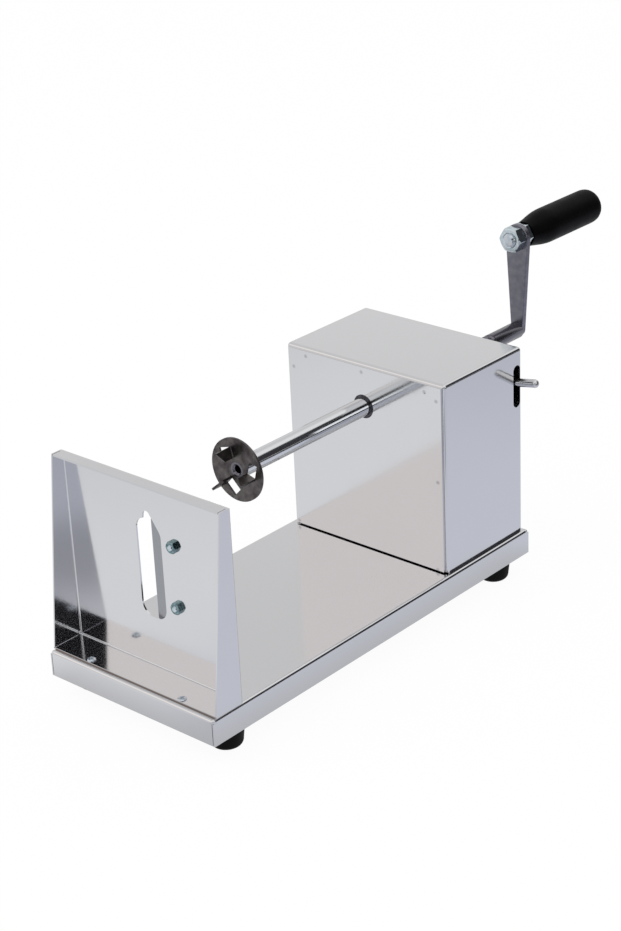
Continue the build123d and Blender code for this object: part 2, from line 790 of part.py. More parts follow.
with BuildPart() as half_nut_screws:
    for y in (-half_nut_screw_y, half_nut_screw_y):
        upright_turn([
            (0, lever_underside - half_nut_screw_head_height),
            (half_nut_screw_head_radius, lever_underside - half_nut_screw_head_height),
            (half_nut_screw_head_radius, lever_underside),
            (half_nut_screw_radius, lever_underside),
            (half_nut_screw_radius, lever_seat + half_nut_screw_grip),
            (0, lever_seat + half_nut_screw_grip),
        ], lever_x, y)
save(half_nut_screws.part, "half_nut_screws")

rod_outside = (rod_reach - lever_end_y) / cos(tilt)

with BuildPart() as release_rod:
    with BuildSketch(rod_plane(rod_face_y)):
        Circle(rod_radius)
    extrude(amount=rod_outside)
    tip = release_rod.faces().sort_by(Axis.Y)[0]
    fillet(tip.edges(), rod_tip_round)
    with BuildSketch(rod_plane(rod_face_y)):
        Circle(rod_radius)
    extrude(amount=-rod_socket)
save(release_rod.part, "release_rod")

with BuildPart() as rod_lock_nut:
    hex_nut(rod_plane(rod_face_y), rod_nut_flats, rod_nut_height, rod_radius, rotation=30)
save(rod_lock_nut.part, "rod_lock_nut")

pivot_nut_x = lever_front_x - lever_panel_gap - pivot_nut_height

with BuildPart() as pivot_bolt:
    with BuildSketch(across(housing_back_x, pivot_y, pivot_height)):
        RegularPolygon(radius=pivot_head_flats / 2, side_count=6, major_radius=False)
    extrude(amount=pivot_head_height)
    with BuildSketch(across(pivot_nut_x - pivot_past_nut, pivot_y, pivot_height)):
        Circle(pivot_radius)
    extrude(amount=housing_back_x - pivot_nut_x + pivot_past_nut)
save(pivot_bolt.part, "pivot_bolt")

with BuildPart() as pivot_nut:
    hex_nut(across(pivot_nut_x, pivot_y, pivot_height), pivot_nut_flats, pivot_nut_height, pivot_radius)
save(pivot_nut.part, "pivot_nut")

with BuildPart() as spring_post:
    turn([
        (cover_back_x - spring_post_length, 0),
        (cover_back_x - spring_post_length, spring_post_radius),
        (housing_back_x, spring_post_radius), (housing_back_x, 0),
    ], spring_post_height, spring_y)
save(spring_post.part, "spring_post")

spring_rod_height = rod_exit_height - (wall_y + spring_y) * tan(tilt)
lower_loop = rod_radius + spring_loop_gap + spring_wire / 2
upper_loop = spring_post_radius + spring_loop_gap + spring_wire / 2

with BuildPart() as return_spring:
    # a loop round the rod, the closely wound body, and a loop round the post
    with Locations(rod_plane(spring_y)):
        Torus(lower_loop, spring_wire / 2)
    with Locations(across(lever_x, spring_y, spring_post_height)):
        Torus(upper_loop, spring_wire / 2)
    upright_turn([
        (0, spring_rod_height + lower_loop + spring_wire / 4),
        (spring_radius, spring_rod_height + lower_loop + spring_wire / 4),
        (spring_radius, spring_post_height - upper_loop - spring_wire / 4),
        (0, spring_post_height - upper_loop - spring_wire / 4),
    ], lever_x, spring_y)
save(return_spring.part, "return_spring")
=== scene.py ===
# %% [markdown]
# # A hand cranked spiral potato cutter in mirror polished steel
# The machine's solids come from the CAD model and stay where they are. This script gives each
# of them the finish it was made with, adds the small things that a solid leaves out, such as
# screw threads and chamfered nuts, and lights the whole as a product photographer would.

# %% Load the machine
import math

import bpy
import numpy as np
from mathutils import Matrix, Vector


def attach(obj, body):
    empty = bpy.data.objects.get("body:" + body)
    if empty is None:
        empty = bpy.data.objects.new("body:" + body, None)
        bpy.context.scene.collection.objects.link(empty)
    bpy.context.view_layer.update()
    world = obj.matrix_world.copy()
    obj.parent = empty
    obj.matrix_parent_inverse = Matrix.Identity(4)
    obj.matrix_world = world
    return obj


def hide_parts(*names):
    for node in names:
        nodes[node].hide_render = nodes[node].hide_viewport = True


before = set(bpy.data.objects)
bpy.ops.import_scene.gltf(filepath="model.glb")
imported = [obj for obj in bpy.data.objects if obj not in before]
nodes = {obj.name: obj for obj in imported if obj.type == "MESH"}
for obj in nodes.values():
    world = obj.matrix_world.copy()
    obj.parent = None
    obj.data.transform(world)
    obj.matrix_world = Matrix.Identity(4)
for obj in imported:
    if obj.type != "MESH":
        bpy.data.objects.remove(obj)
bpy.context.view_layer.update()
MM = 0.001

# %% [markdown]
# ## Two small helpers
# Colours are picked as they look on a screen, and a shader adds light in linear values, so each
# hex colour goes through the screen's own curve once. One function adds a node, sets its values
# and connects its inputs, which keeps each material down to the lines that matter.


# %% Colour and node helpers
def linear(hex_colour):
    """An sRGB hex colour as linear RGBA: c / 12.92 near black, ((c + 0.055) / 1.055) ** 2.4 above."""
    channels = [int(hex_colour[i:i + 2], 16) / 255 for i in (1, 3, 5)]
    return (*(c / 12.92 if c <= 0.04045 else ((c + 0.055) / 1.055) ** 2.4 for c in channels), 1)


def add(tree, kind, inputs=None, **settings):
    """Add a node of this kind, set its properties, then link or set each named or numbered input."""
    node = tree.nodes.new(kind)
    for name, value in settings.items():
        setattr(node, name, value)
    for key, value in (inputs or {}).items():
        socket = node.inputs[key]
        if isinstance(value, bpy.types.NodeSocket):
            tree.links.new(value, socket)
        else:
            socket.default_value = value
    return node


def new_material(name):
    """An empty node material and its tree."""
    material = bpy.data.materials.new(name)
    material.use_nodes = True
    material.node_tree.nodes.clear()
    return material, material.node_tree


# %% [markdown]
# ## Camera
# The photograph is an upright frame. Its camera stands in front of the machine and to its right,
# about a metre and a half away, and looks down at 25 degrees. The place and the three axes were
# found by matching the edges of the base and the housing. The frame's long side is the sensor's.

# %% Camera at the photograph's place
IMAGE_HEIGHT_PX = 931
FOCAL_PX = 2129.56
SENSOR = 36.0
camera_place = Vector((-988.00, -828.29, 679.88)) * MM
camera_right = Vector((0.65732579, -0.75232896, -0.04386277))
camera_down = Vector((-0.33980554, -0.24393846, -0.90830954))
camera_forward = Vector((0.67264776, 0.61196010, -0.41599258))

camera_data = bpy.data.cameras.new("photo_camera")
camera_data.sensor_width = SENSOR
camera_data.lens = FOCAL_PX / IMAGE_HEIGHT_PX * SENSOR
camera_data.clip_start = 0.01
camera = bpy.data.objects.new("photo_camera", camera_data)
axes = Matrix((camera_right, -camera_down, -camera_forward)).transposed().to_4x4()
camera.matrix_world = Matrix.Translation(camera_place) @ axes
bpy.context.scene.collection.objects.link(camera)
bpy.context.scene.camera = camera
bpy.context.scene.view_settings.view_transform = "Standard"
print("lens", round(camera_data.lens, 2), "mm")

# %% [markdown]
# ## What the steel sees
# Mirror polished steel has hardly a colour of its own. It shows what is around it, so the studio
# matters as much as the material. Steel gives back about seven tenths of the light, so a white wall
# looks light grey in it, and a wall seen after two bounces looks mid grey. The photograph tells
# what stood round the machine: a white wall behind it that fades upward and downward, a warm soft
# box on its left, a ceiling that is brighter on the right, a dim stretch of wall on the right, a
# dark room behind the camera, and a window low beside the camera, which shows only in the spindle
# tube, by way of the housing's front. Here a large dome that only reflections can see holds these,
# and the floor does the same below the horizon.


# %% Surfaces from numpy grids
def grid_faces(rows, columns, wrap_rows=False, wrap_columns=False):
    """Quads of a rows x columns grid of points numbered row by row, closed where it wraps."""
    row = np.arange(rows if wrap_rows else rows - 1)
    column = np.arange(columns if wrap_columns else columns - 1)
    r, c = (a.ravel() for a in np.meshgrid(row, column, indexing="ij"))
    r_next, c_next = (r + 1) % rows, (c + 1) % columns
    corners = [(r, c), (r, c_next), (r_next, c_next), (r_next, c)]
    return np.stack([i * columns + j for i, j in corners], 1)


def make_piece(name, points, faces, material, body=None, smooth_angle=30.0):
    """A mesh object from points in metres and faces; edges sharper than the angle stay sharp."""
    mesh = bpy.data.meshes.new(name)
    mesh.from_pydata(points.reshape(-1, 3).tolist(), [], list(faces))
    mesh.validate()
    mesh.shade_smooth()
    mesh.set_sharp_from_angle(angle=math.radians(smooth_angle))
    mesh.materials.append(material)
    piece = bpy.data.objects.new(name, mesh)
    bpy.context.scene.collection.objects.link(piece)
    if body:
        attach(piece, body)
    return piece


# %% Shader helpers that the studio and the finishes share
def ramp(tree, value, start, end, low=0.0, high=1.0):
    """Map start..end to low..high along a smooth S, held at both ends."""
    return add(tree, "ShaderNodeMapRange", {"Value": value, "From Min": start, "From Max": end,
                                            "To Min": low, "To Max": high},
               interpolation_type="SMOOTHSTEP").outputs["Result"]


def blend_colour(tree, factor, first, second):
    """first where factor is 0, second where it is 1."""
    return add(tree, "ShaderNodeMix", {"Factor": factor, "A": first, "B": second},
               data_type="RGBA").outputs["Result"]


def compute(tree, operation, first, second):
    """Two numbers through a math node."""
    return add(tree, "ShaderNodeMath", {0: first, 1: second}, operation=operation).outputs[0]


def vector(tree, operation, first, second=(0, 0, 0)):
    """Two vectors through a vector math node."""
    return add(tree, "ShaderNodeVectorMath", {0: first, 1: second}, operation=operation)


def grey(level):
    """A neutral colour of this linear level."""
    return (level, level, level, 1)


# %% Studio dome, seen in reflections only
# Colours are linear. Places on the dome are parts of a unit vector from the machine: X towards the
# crank, Y to the left, Z up. Each pair is where a smooth change starts and where it ends.
DOME_RADIUS, DOME_ROWS, DOME_COLUMNS = 4.0, 32, 96
WALL_FOOT, WALL_LOW, WALL_HIGH = 0.64, 0.82, 0.72
FOOT_TO_LOW, LOW_TO_HIGH, WALL_TO_CEILING = (0.08, 0.32), (0.34, 0.52), (0.54, 0.66)
CEILING_LEFT, CEILING_RIGHT, LEFT_TO_RIGHT = 0.74, 0.95, (0.35, 0.0)
SOFT_BOX, SOFT_BOX_EDGE = (1.09, 1.035, 1.0, 1), (0.80, 0.95)
soft_box_direction = (-0.67, 0.61, 0.42)
soft_box_limits = [("Z", 0.14, 0.26), ("Z", 0.64, 0.56)]
WINDOW, WINDOW_EDGE = (1.5, 1.53, 1.55, 1), (0.965, 0.988)
window_direction = (-0.66, -0.745, 0.08)
DIM_WALL = (0.04, 0.04, 0.045, 1)
dim_wall_limits = [("X", 0.40, 0.54), ("Y", -0.24, -0.38), ("Z", 0.0, 0.10), ("Z", 0.74, 0.64)]
DARK_ROOM = (0.012, 0.012, 0.014, 1)
dark_room_limits = [("X", -0.30, -0.44), ("Y", -0.36, -0.46), ("Z", 0.66, 0.54)]


def dome_material():
    """Glow by direction: the wall and ceiling first, then what stands in front of them."""
    material, tree = new_material("studio_dome_glow")
    place = add(tree, "ShaderNodeTexCoord").outputs["Object"]
    direction = vector(tree, "NORMALIZE", place).outputs[0]
    parts = add(tree, "ShaderNodeSeparateXYZ", {0: direction}).outputs
    height = parts["Z"]

    def within(limits):
        """1 inside a region, 0 outside: the product of one ramp for each limit."""
        edges = [ramp(tree, parts[axis], start, end) for axis, start, end in limits]
        inside = edges[0]
        for edge in edges[1:]:
            inside = compute(tree, "MULTIPLY", inside, edge)
        return inside

    def round_spot(target, edge):
        """1 near a direction: a ramp of the cosine of the angle to it."""
        return ramp(tree, vector(tree, "DOT_PRODUCT", direction, target).outputs["Value"], *edge)

    foot = blend_colour(tree, ramp(tree, height, *FOOT_TO_LOW), grey(WALL_FOOT), grey(WALL_LOW))
    wall = blend_colour(tree, ramp(tree, height, *LOW_TO_HIGH), foot, grey(WALL_HIGH))
    sideways = ramp(tree, parts["Y"], *LEFT_TO_RIGHT)
    ceiling = blend_colour(tree, sideways, grey(CEILING_LEFT), grey(CEILING_RIGHT))
    glow = blend_colour(tree, ramp(tree, height, *WALL_TO_CEILING), wall, ceiling)
    box = compute(tree, "MULTIPLY", within(soft_box_limits), round_spot(soft_box_direction, SOFT_BOX_EDGE))
    glow = blend_colour(tree, box, glow, SOFT_BOX)
    glow = blend_colour(tree, within(dim_wall_limits), glow, DIM_WALL)
    glow = blend_colour(tree, within(dark_room_limits), glow, DARK_ROOM)
    glow = blend_colour(tree, round_spot(window_direction, WINDOW_EDGE), glow, WINDOW)
    emission = add(tree, "ShaderNodeEmission", {"Color": glow})
    add(tree, "ShaderNodeOutputMaterial", {"Surface": emission.outputs[0]})
    return material


around = np.linspace(0, 2 * math.pi, DOME_COLUMNS, endpoint=False)
up = np.radians(np.linspace(-2, 90, DOME_ROWS))
u, v = np.meshgrid(up, around, indexing="ij")
dome_points = DOME_RADIUS * np.stack([np.cos(u) * np.cos(v), np.cos(u) * np.sin(v), np.sin(u)], 2)
dome_faces = grid_faces(DOME_ROWS, DOME_COLUMNS, wrap_columns=True)
dome = make_piece("studio_dome", dome_points, dome_faces, dome_material())
dome.visible_camera = False
dome.visible_diffuse = False
dome.visible_transmission = False
dome.visible_shadow = False
print("dome", len(dome_faces), "faces")

# %% [markdown]
# ## Floor
# The camera sees a white table with a faint shadow under the feet. In the steel the table is less
# even: dimmer within a few centimetres of the machine, which shades it, cooler on the right, dimmer
# in two patches in front, and it ends half a metre away on the dark side of the room. Light Path
# tells the two kinds of ray apart.

# %% White table
FLOOR_HALF = 6.0
TABLE_WHITE = 0.92
SHADE_KEEP = 0.05
LEFT_TABLE, RIGHT_TABLE, TABLE_SIDES = (0.86, 0.87, 0.885, 1), (0.69, 0.71, 0.79, 1), (0.10, -0.12)
NEAR_TABLE, NEAR_REACH = (0.585, 0.585, 0.595, 1), 0.05
FAR_DIMMING, FAR_BAND = 0.14, (0.12, 0.5)
TABLE_EDGE_Y, EDGE_SOFTNESS = -0.50, 0.06
base_middle = (-0.0858, 0.0068, 0.0)
base_half = (0.156, 0.070, 0.05)
# middle and reach in metres, and depth, of each dimmer patch; its core is a fifth of its reach
table_shades = [((-0.335, -0.055, 0.0), 0.10, 0.38), ((-0.21, -0.27, 0.0), 0.12, 0.6)]
SHADE_CORE, SHADE_LEVEL = 0.2, 0.1


def table_glow(tree, place):
    """What reflections see: the open table by side and distance, then its patches, then its edge."""
    sideways = add(tree, "ShaderNodeSeparateXYZ", {0: place}).outputs["Y"]
    # distance from the base's rectangle: length of max(|place - middle| - half, 0)
    from_middle = vector(tree, "SUBTRACT", place, base_middle).outputs[0]
    beyond = vector(tree, "SUBTRACT", vector(tree, "ABSOLUTE", from_middle).outputs[0], base_half).outputs[0]
    away = vector(tree, "LENGTH", vector(tree, "MAXIMUM", beyond).outputs[0]).outputs["Value"]
    glow = blend_colour(tree, ramp(tree, sideways, *TABLE_SIDES), LEFT_TABLE, RIGHT_TABLE)
    glow = blend_colour(tree, ramp(tree, away, *FAR_BAND, 0.0, FAR_DIMMING), glow, grey(0.0))
    glow = blend_colour(tree, ramp(tree, away, 0.0, NEAR_REACH), NEAR_TABLE, glow)
    for middle, reach, depth in table_shades:
        apart = vector(tree, "DISTANCE", place, middle).outputs["Value"]
        patch = ramp(tree, apart, reach, SHADE_CORE * reach, 0.0, depth)
        glow = blend_colour(tree, patch, glow, grey(SHADE_LEVEL))
    past_edge = ramp(tree, sideways, TABLE_EDGE_Y + EDGE_SOFTNESS, TABLE_EDGE_Y - EDGE_SOFTNESS)
    return blend_colour(tree, past_edge, glow, DARK_ROOM)


def table_material():
    """White for the camera with part of the shadow kept; for reflections, a glow by place on the table."""
    material, tree = new_material("white_table")
    rays = add(tree, "ShaderNodeLightPath").outputs
    place = add(tree, "ShaderNodeTexCoord").outputs["Object"]
    lit = add(tree, "ShaderNodeBsdfDiffuse", {"Color": grey(TABLE_WHITE)}).outputs[0]
    white = add(tree, "ShaderNodeEmission", {"Color": grey(1.0)}).outputs[0]
    mirrored = add(tree, "ShaderNodeEmission", {"Color": table_glow(tree, place)}).outputs[0]
    seen = add(tree, "ShaderNodeMixShader", {0: 1 - SHADE_KEEP, 1: lit, 2: white}).outputs[0]
    direct = add(tree, "ShaderNodeMixShader", {0: rays["Is Camera Ray"], 1: lit, 2: seen}).outputs[0]
    surface = add(tree, "ShaderNodeMixShader", {0: rays["Is Glossy Ray"], 1: direct, 2: mirrored})
    add(tree, "ShaderNodeOutputMaterial", {"Surface": surface.outputs[0]})
    return material


corner = np.array([-FLOOR_HALF, FLOOR_HALF])
floor_x, floor_y = np.meshgrid(corner, corner, indexing="ij")
floor_points = np.stack([floor_x, floor_y, np.zeros((2, 2))], 2)
floor = make_piece("table_top", floor_points, [[0, 2, 3, 1]], table_material())
print("table", 2 * FLOOR_HALF, "m wide, ends at y", TABLE_EDGE_Y, "m in reflections")

# %% [markdown]
# ## Light
# The even part comes from the world. It is white to the camera and plain for everything else. One
# large lamp above, in front and to the left gives the black grip and the rubber feet their shape;
# the steel doesn't show it, because the dome already holds the ceiling.

# %% World and lamp
WORLD_LEVEL = 0.95
LAMP_PLACE, LAMP_AIM, LAMP_SIZE, LAMP_WATTS = (-1.2, 0.6, 1.8), (0, 0, 0.1), 1.2, 9.0
world = bpy.data.worlds.new("studio")
bpy.context.scene.world = world
world.use_nodes = True
world_tree = world.node_tree
world_tree.nodes.clear()
rays = add(world_tree, "ShaderNodeLightPath").outputs
plain = add(world_tree, "ShaderNodeBackground", {"Color": grey(1.0), "Strength": WORLD_LEVEL})
background = add(world_tree, "ShaderNodeBackground", {"Color": grey(1.0), "Strength": 1.0})
seen_direct = compute(world_tree, "MAXIMUM", rays["Is Camera Ray"], rays["Is Glossy Ray"])
seen_any = compute(world_tree, "MAXIMUM", seen_direct, rays["Is Transmission Ray"])
world_mix = add(world_tree, "ShaderNodeMixShader",
                {0: seen_any, 1: plain.outputs[0], 2: background.outputs[0]})
add(world_tree, "ShaderNodeOutputWorld", {"Surface": world_mix.outputs[0]})

lamp_data = bpy.data.lights.new("key_lamp", "AREA")
lamp_data.size = LAMP_SIZE
lamp_data.energy = LAMP_WATTS
lamp = bpy.data.objects.new("key_lamp", lamp_data)
lamp.location = LAMP_PLACE
lamp.rotation_euler = (Vector(LAMP_AIM) - Vector(LAMP_PLACE)).to_track_quat("-Z", "Y").to_euler()
lamp.visible_glossy = False
bpy.context.scene.collection.objects.link(lamp)
print("world", WORLD_LEVEL, "lamp", LAMP_WATTS, "W")

# %% [markdown]
# ## Metals
# Bright annealed stainless comes off the roll polished, or is buffed after bending. It is a metal
# with a neutral grey of about seven tenths reflectance. Buffing leaves a haze a little rougher in
# places, which is the noise in its roughness, and the thin sheet is never quite flat, which bends
# reflections a little: that is the wide, weak wave. The other metals here differ only in colour,
# roughness, grain and tint, so one function makes them all.


# %% Noise and bump
def bump_from(tree, height, strength, distance):
    """A bump whose height is in metres times distance."""
    return add(tree, "ShaderNodeBump", {"Height": height, "Strength": strength, "Distance": distance})


def noise_at(tree, place, feature_mm, detail=2.0, stretch=(1, 1, 1)):
    """Noise with features about this many millimetres wide, stretched along the axes given."""
    scaled = add(tree, "ShaderNodeMapping", {"Vector": place, "Scale": stretch}).outputs[0]
    return add(tree, "ShaderNodeTexNoise",
               {"Vector": scaled, "Scale": 1 / (feature_mm * MM), "Detail": detail}).outputs[0]


def between(tree, value, low, high, from_low=0.3, from_high=0.7):
    """Map a noise value to the range low to high."""
    return add(tree, "ShaderNodeMapRange", {"Value": value, "From Min": from_low, "From Max": from_high,
                                            "To Min": low, "To Max": high}).outputs["Result"]


# %% Metal finishes
HAZE_MM, NOISE_DETAIL = 24.0, 3.0
# Painted shadow: the stand's sheet turns dark in front of its flange's front edge, where the gap under the
# flange lies in shade.
EDGE_SHADOW_STEEL, EDGE_SHADOW_BAND_MM = "#6E625B", (0.3, 0.1)
PRESSED_STEEL, PRESSED_SHARE = "#8C8A90", 0.45
WELD_EDGE_MM, DIMPLE_MM, DIMPLE_STRENGTH = (1.9, 0.5), 0.08, 0.6


def weld_mark(tree, place, welds, high=1.0):
    """high at the nearest weld, falling to 0 at its edge: a ramp of the least distance to any of them."""
    apart = None
    for middle in welds:
        distance = vector(tree, "DISTANCE", place, middle).outputs["Value"]
        apart = distance if apart is None else compute(tree, "MINIMUM", apart, distance)
    start, end = (reach * MM for reach in WELD_EDGE_MM)
    return ramp(tree, apart, start, end, 0.0, high)


def metal_colour(tree, place, colour, tint, welds, shadow_edge_x):
    """One colour, or blended with a tint by noise, darkened in front of an edge as a painted shadow, or
    greyed at the welds.
    """
    base = linear(colour)
    if tint:
        other, patch_mm = tint
        patch = between(tree, noise_at(tree, place, patch_mm, NOISE_DETAIL), 0.0, 1.0)
        return blend_colour(tree, patch, base, linear(other))
    if shadow_edge_x is not None:
        # Painted shadow: the sheet turns dark in front of this x.
        along = add(tree, "ShaderNodeSeparateXYZ", {0: place}).outputs["X"]
        start, end = (shadow_edge_x + reach * MM for reach in EDGE_SHADOW_BAND_MM)
        return blend_colour(tree, ramp(tree, along, start, end), base, linear(EDGE_SHADOW_STEEL))
    if welds:
        return blend_colour(tree, weld_mark(tree, place, welds, PRESSED_SHARE), base, linear(PRESSED_STEEL))
    return base


def metal(name, colour, rough, wave=None, grain=None, stretch=(1, 1, 1), tint=None, welds=(), shadow_edge_x=None):
    """A metal with roughness between two values; wave and grain are (width, height) of its bumps in mm."""
    material, tree = new_material(name)
    place = add(tree, "ShaderNodeTexCoord").outputs["Object"]
    inputs = {"Base Color": metal_colour(tree, place, colour, tint, welds, shadow_edge_x), "Metallic": 1.0,
              "Roughness": between(tree, noise_at(tree, place, HAZE_MM, NOISE_DETAIL), *rough)}
    if welds:
        dimple = bump_from(tree, weld_mark(tree, place, welds), DIMPLE_STRENGTH, -DIMPLE_MM * MM)
        inputs["Normal"] = dimple.outputs[0]
    elif wave:
        inputs["Normal"] = bump_from(tree, noise_at(tree, place, wave[0], 0.0), 1.0, wave[1] * MM).outputs[0]
    elif grain:
        fine = noise_at(tree, place, grain[0], NOISE_DETAIL, stretch)
        inputs["Normal"] = bump_from(tree, fine, 1.0, grain[1] * MM).outputs[0]
    shader = add(tree, "ShaderNodeBsdfPrincipled", inputs)
    add(tree, "ShaderNodeOutputMaterial", {"Surface": shader.outputs[0]})
    return material


# %% Polished sheet, plain, with a painted shadow along the flange's front edge, and with spot welds
FRONT_EDGE_X, SPINDLE_Y, DECK_Z = -241.95, 6.75, 31.0
FLANGE_EDGE_X, PANEL_FACE_X = 2.9, 226.0


def machine(x, y, z):
    """Metres in the shared frame from mm behind the front edge, left of the spindle and above the deck."""
    return tuple(round(value * MM, 6) for value in (FRONT_EDGE_X + x, SPINDLE_Y + y, DECK_Z + z))


SHEET, SHEET_ROUGH, SHEET_WAVE = "#DCDCDE", (0.085, 0.125), (90.0, 0.05)
weld_places = [machine(PANEL_FACE_X, y, z) for y, z in [
    (49.0, 127.6), (60.0, 118.0), (1.0, 127.5), (-51.0, 126.2),
    (-60.6, 121.7), (-60.8, 65.1), (61.9, 2.7), (-59.3, 1.6)]]
polished_sheet = metal("mirror_polished_stainless_sheet", SHEET, SHEET_ROUGH, SHEET_WAVE)
# The blade stand's sheet, with a painted shadow along its flange's front edge.
stand_sheet = metal("mirror_polished_sheet_with_painted_edge_shadow", SHEET, SHEET_ROUGH, SHEET_WAVE,
                    shadow_edge_x=machine(FLANGE_EDGE_X, 0, 0)[0])
welded_sheet = metal("mirror_polished_spot_welded_sheet", SHEET, SHEET_ROUGH, welds=weld_places)
print("spot welds", len(weld_places))

# %% The other metals
bright_chrome = metal("bright_chrome_on_ground_tube", "#DCDEE0", (0.10, 0.15))
rod_chrome = metal("bright_chrome_on_drawn_rod", "#D8D8DA", (0.20, 0.28))
dull_stainless = metal("unpolished_punched_stainless", "#75706F", (0.28, 0.42), grain=(1.2, 0.03),
                       tint=("#4A4445", 5.0))
drawn_flat_steel = metal("drawn_flat_steel", "#89888F", (0.26, 0.38), grain=(0.8, 0.02),
                         stretch=(1, 1, 0.08), tint=("#787781", 4.0))
cut_thread_steel = metal("turned_and_threaded_steel", "#75737A", (0.18, 0.26), grain=(0.6, 0.005))
ground_blade = metal("ground_blade_steel", "#9D9FA4", (0.16, 0.24), grain=(0.5, 0.01),
                     stretch=(1, 1, 0.06))
blue_zinc = metal("blue_passivated_zinc", "#DADFE3", (0.08, 0.15), grain=(1.0, 0.01),
                  tint=("#AFC4CB", 2.5))
dark_zinc = metal("thin_dark_passivated_zinc", "#8FA9AE", (0.12, 0.2), grain=(1.0, 0.01),
                  tint=("#4F6A70", 2.0))
bush_steel = metal("oiled_bush_steel", "#5C5B61", (0.22, 0.32), tint=("#39383D", 3.0))
bright_zinc = metal("bright_zinc_plate", "#D6DADF", (0.12, 0.2), grain=(1.0, 0.01),
                    tint=("#BECAD4", 4.0))
sintered_bronze = metal("sintered_oiled_bronze", "#B39B78", (0.3, 0.45), grain=(0.4, 0.02))
machined_brass = metal("machined_brass", "#D9B878", (0.2, 0.3))
spring_steel = metal("drawn_spring_wire", "#A9A9AD", (0.2, 0.3))

# %% [markdown]
# ## Moulded grip and rubber feet
# The grip is a hard black plastic out of a polished mould. Its gloss is even and low. The
# feet are black rubber, duller, with the fine grain that talc in the mould leaves.

# %% Black plastics
SHEEN_MM = 9.0


def moulded(name, colour, rough, grain, specular):
    """A plastic or rubber: one colour, roughness between two values, grain as (width, height) in mm."""
    material, tree = new_material(name)
    place = add(tree, "ShaderNodeTexCoord").outputs["Object"]
    sheen = between(tree, noise_at(tree, place, SHEEN_MM, NOISE_DETAIL), *rough)
    fine = bump_from(tree, noise_at(tree, place, grain[0]), 1.0, grain[1] * MM)
    shader = add(tree, "ShaderNodeBsdfPrincipled",
                 {"Base Color": linear(colour), "Roughness": sheen, "Specular IOR Level": specular,
                  "Normal": fine.outputs[0]})
    add(tree, "ShaderNodeOutputMaterial", {"Surface": shader.outputs[0]})
    return material


grip_plastic = moulded("moulded_black_phenolic", "#040405", (0.36, 0.48), (0.6, 0.012), 0.05)
foot_rubber = moulded("moulded_black_rubber", "#080808", (0.5, 0.65), (0.5, 0.03), 0.12)

# %% [markdown]
# ## Dress the machine's own solids
# Each solid keeps its shape and only gets its finish.

# %% Finishes by piece
finish_of = {
    polished_sheet: ["base_tray", "housing_cover", "housing_rear_panel"],
    stand_sheet: ["blade_stand"],
    welded_sheet: ["housing_front_panel"],
    bright_chrome: ["spindle_tube"],
    rod_chrome: ["release_rod"],
    dull_stainless: ["holding_disc"],
    drawn_flat_steel: ["crank_arm", "release_lever"],
    cut_thread_steel: ["feed_screw"],
    ground_blade: ["blade"],
    blue_zinc: ["grip_bolt", "grip_nut_front", "grip_nut_rear"],
    dark_zinc: ["blade_nuts", "blade_bolts"],
    bright_zinc: ["foot_studs", "foot_nuts", "stand_nuts", "stand_screws", "housing_screws", "housing_nuts",
                  "half_nut_screws", "rod_lock_nut", "pivot_bolt", "pivot_nut", "spring_post"],
    sintered_bronze: ["rear_bush"],
    bush_steel: ["front_bush"],
    machined_brass: ["half_nut"],
    spring_steel: ["return_spring"],
    grip_plastic: ["grip"],
    foot_rubber: ["foot_front_left", "foot_front_right", "foot_rear_left", "foot_rear_right"],
}
for material, names in finish_of.items():
    for name in names:
        slots = nodes[name].data.materials
        slots.clear()
        slots.append(material)
print("dressed", sum(len(names) for names in finish_of.values()), "of", len(nodes))

# %% [markdown]
# ## Screws, nuts and beads
# The solids leave out screw threads and chamfers, which are too small to matter for how the machine
# works. Here these pieces are drawn again from rings: every row of a ring surface is a circle about
# the piece's own axis, a hexagon is a circle whose radius changes with the angle, and a thread is one
# whose radius also changes with the angle less the distance along it.

# %% Ring surfaces
AROUND = 72
CROWN_SHARE, CHAMFER_DEG, SINK_SHARE = 0.965, 30, 0.12
CREST_SHARE, FLANK_SHARE = 0.3, 0.45
angle = np.linspace(0, 2 * math.pi, AROUND, endpoint=False)


def rings(along, radius, middle, axis=0):
    """Rings about a line along x (0) or z (2), in mm: middle + along, and radius * (cos, sin) across."""
    points = np.zeros((len(along), AROUND, 3))
    points[..., axis] = along
    points[..., (axis + 1) % 3] = radius * np.cos(angle)
    points[..., (axis + 2) % 3] = radius * np.sin(angle)
    return points + middle


def column(values):
    """Values or whole rings of values stacked as rows."""
    return np.stack([np.broadcast_to(value, (AROUND,)).astype(float) for value in values])


def profile(*places):
    """Rows of a ring surface from pairs (along, radius) in mm."""
    along, radius = zip(*places)
    return column(along), column(radius)


def joined(*sections):
    """Several sections of rows, one after the other."""
    return tuple(np.concatenate(rows) for rows in zip(*sections))


def hexagon(flats):
    """A hexagon's radius at each angle: half the flats over the cosine of the angle to a side's middle."""
    return flats / 2 / np.cos(angle % (math.pi / 3) - math.pi / 6)


def nut(flats, height, bore, middle):
    """A chamfered hexagon nut: countersunk bore, crown circle, the hexagon cut by a cone, and back."""
    side, crown, sink = hexagon(flats), CROWN_SHARE * flats / 2, SINK_SHARE * bore
    drop = (side - crown) * math.tan(math.radians(CHAMFER_DEG))
    rows = profile((sink, bore), (0, bore + sink), (0, crown), (drop, side),
                   (height - drop, side), (height, crown), (height, bore + sink), (height - sink, bore))
    return rings(*rows, middle)


def thread(start, end, outside, pitch, depth, step):
    """Rows of a right hand thread: the radius falls by depth between crests that climb one pitch a turn."""
    along = np.arange(start, end, step)[:, None] + 0 * angle
    turn = (along / pitch - angle / (2 * math.pi)) % 1
    flank = np.clip((np.abs(2 * turn - 1) - CREST_SHARE) / FLANK_SHARE, 0, 1)
    return along, outside - depth * flank


